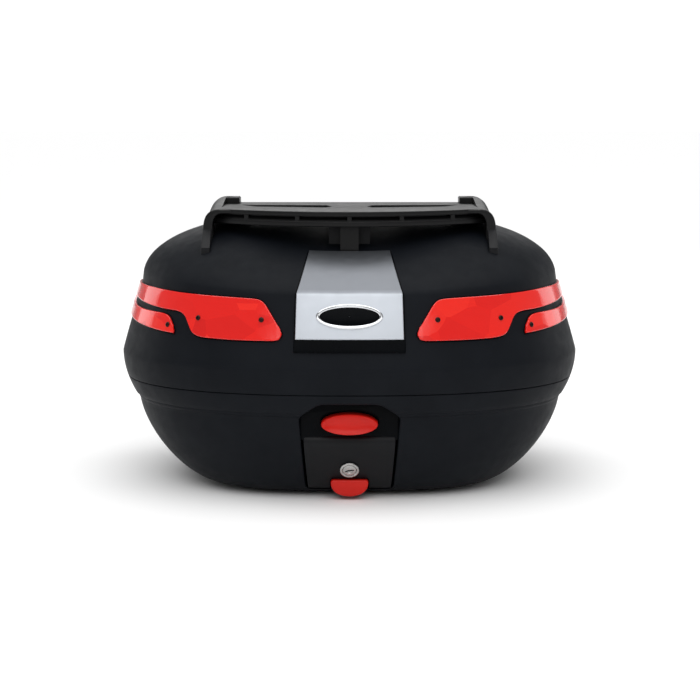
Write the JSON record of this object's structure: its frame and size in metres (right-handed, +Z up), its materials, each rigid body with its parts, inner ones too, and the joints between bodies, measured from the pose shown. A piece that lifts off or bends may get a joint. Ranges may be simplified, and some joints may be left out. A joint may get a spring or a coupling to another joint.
{
  "type": "motorcycle top case",
  "caption": "Lockable two-shell motorcycle top case: tapered base, hinged domed lid with luggage rack, wrap-round reflectors, push-button latch, key lock and mount release tab.",
  "frame": {"origin": "on the ground under the middle of the case, at the centre of its outline", "axes": "+Z up, +X to the right of a person who faces the lock, -Y towards that person, +Y towards the rider"},
  "size_m": [0.578, 0.43, 0.353],
  "materials": {
    "shell_black": "fine-grained moulded black, matte",
    "rack_black": "satin moulded black",
    "gloss_black": "smooth black",
    "lock_black": "fine-grained moulded black",
    "rubber_black": "soft black rubber",
    "panel_silver": "satin silver paint",
    "badge_chrome": "polished",
    "reflector_red": "glossy moulded reflector red",
    "button_red": "semi-gloss red",
    "lock_silver": "satin",
    "pin_steel": "drawn steel",
    "zinc_plated": "dull zinc plate",
    "screw_dark": "dark plated"
  },
  "bodies": {
    "root": {"bottom_shell": "shell_black", "rim_seal": "rubber_black", "rubber_foot_1": "rubber_black", "rubber_foot_2": "rubber_black", "rubber_foot_3": "rubber_black", "rubber_foot_4": "rubber_black", "lock_face_plate": "lock_black", "lock_bay_cover": "lock_black", "button_bezel": "gloss_black", "lock_chassis": "zinc_plated", "barrel_nut": "zinc_plated", "cover_screw_1": "screw_dark", "cover_screw_2": "screw_dark", "cover_screw_3": "screw_dark", "cover_screw_4": "screw_dark", "latch_pin": "pin_steel", "mount_latch_pin": "pin_steel", "hinge_pin_left": "pin_steel", "hinge_pin_right": "pin_steel", "lid_hook_spring": "pin_steel", "mount_hook_spring": "pin_steel", "lock_barrel": "lock_silver"},
    "lid": {"lid_shell": "shell_black", "luggage_rack": "rack_black", "garnish_carrier": "gloss_black", "garnish_panel": "panel_silver", "badge_rim": "badge_chrome", "badge_plate": "gloss_black", "lid_striker": "zinc_plated", "striker_screw_left": "screw_dark", "striker_screw_right": "screw_dark", "rack_screw_1": "screw_dark", "rack_screw_2": "screw_dark", "rack_screw_3": "screw_dark", "rack_screw_4": "screw_dark", "reflector_screw_upper_left_1": "screw_dark", "reflector_screw_upper_left_2": "screw_dark", "reflector_screw_upper_right_1": "screw_dark", "reflector_screw_upper_right_2": "screw_dark", "reflector_screw_lower_left_1": "screw_dark", "reflector_screw_lower_right_1": "screw_dark", "upper_reflector_left": "reflector_red", "upper_reflector_right": "reflector_red", "lower_reflector_left": "reflector_red", "lower_reflector_right": "reflector_red"},
    "lid_button": {"lid_release_button": "button_red"},
    "lid_hook": {"lid_latch_hook": "zinc_plated"},
    "key": {"key_plug": "lock_silver", "lock_cam": "zinc_plated", "cam_screw": "screw_dark"},
    "release_tab": {"case_release_tab": "button_red"},
    "mount_hook": {"mount_latch_hook": "zinc_plated"}
  },
  "joints": [
    {"name": "lid_hinge", "type": "hinge", "parent": "root", "child": "lid", "pos_m": [0, 0.2098, 0.132], "axis": [-1, 0, 0], "range_deg": [0, 80]},
    {"name": "lid_button_press", "type": "slide", "parent": "root", "child": "lid_button", "axis": [0, 1, 0], "range_m": [0, 0.005], "stiffness_N_per_m": 900, "springref_m": -0.002},
    {"name": "lid_hook_pivot", "type": "hinge", "parent": "root", "child": "lid_hook", "pos_m": [0, -0.162, 0.08], "axis": [-1, 0, 0], "range_deg": [0, 17], "deforming": ["lid_hook_spring"]},
    {"name": "key_turn", "type": "hinge", "parent": "root", "child": "key", "pos_m": [0, -0.1764, 0.039], "axis": [0, -0.8572, -0.515], "range_deg": [0, 90]},
    {"name": "release_tab_press", "type": "slide", "parent": "root", "child": "release_tab", "axis": [0, 1, 0], "range_m": [0, 0.006], "stiffness_N_per_m": 900, "springref_m": -0.002},
    {"name": "mount_hook_pivot", "type": "hinge", "parent": "root", "child": "mount_hook", "pos_m": [0, -0.128, 0.044], "axis": [1, 0, 0], "range_deg": [0, 13], "deforming": ["mount_hook_spring"]}
  ],
  "couplings": [
    {"joint": "lid_hook_pivot", "follows": "lid_button_press", "rad_per_m": 56},
    {"joint": "mount_hook_pivot", "follows": "release_tab_press", "rad_per_m": 36}
  ]
}
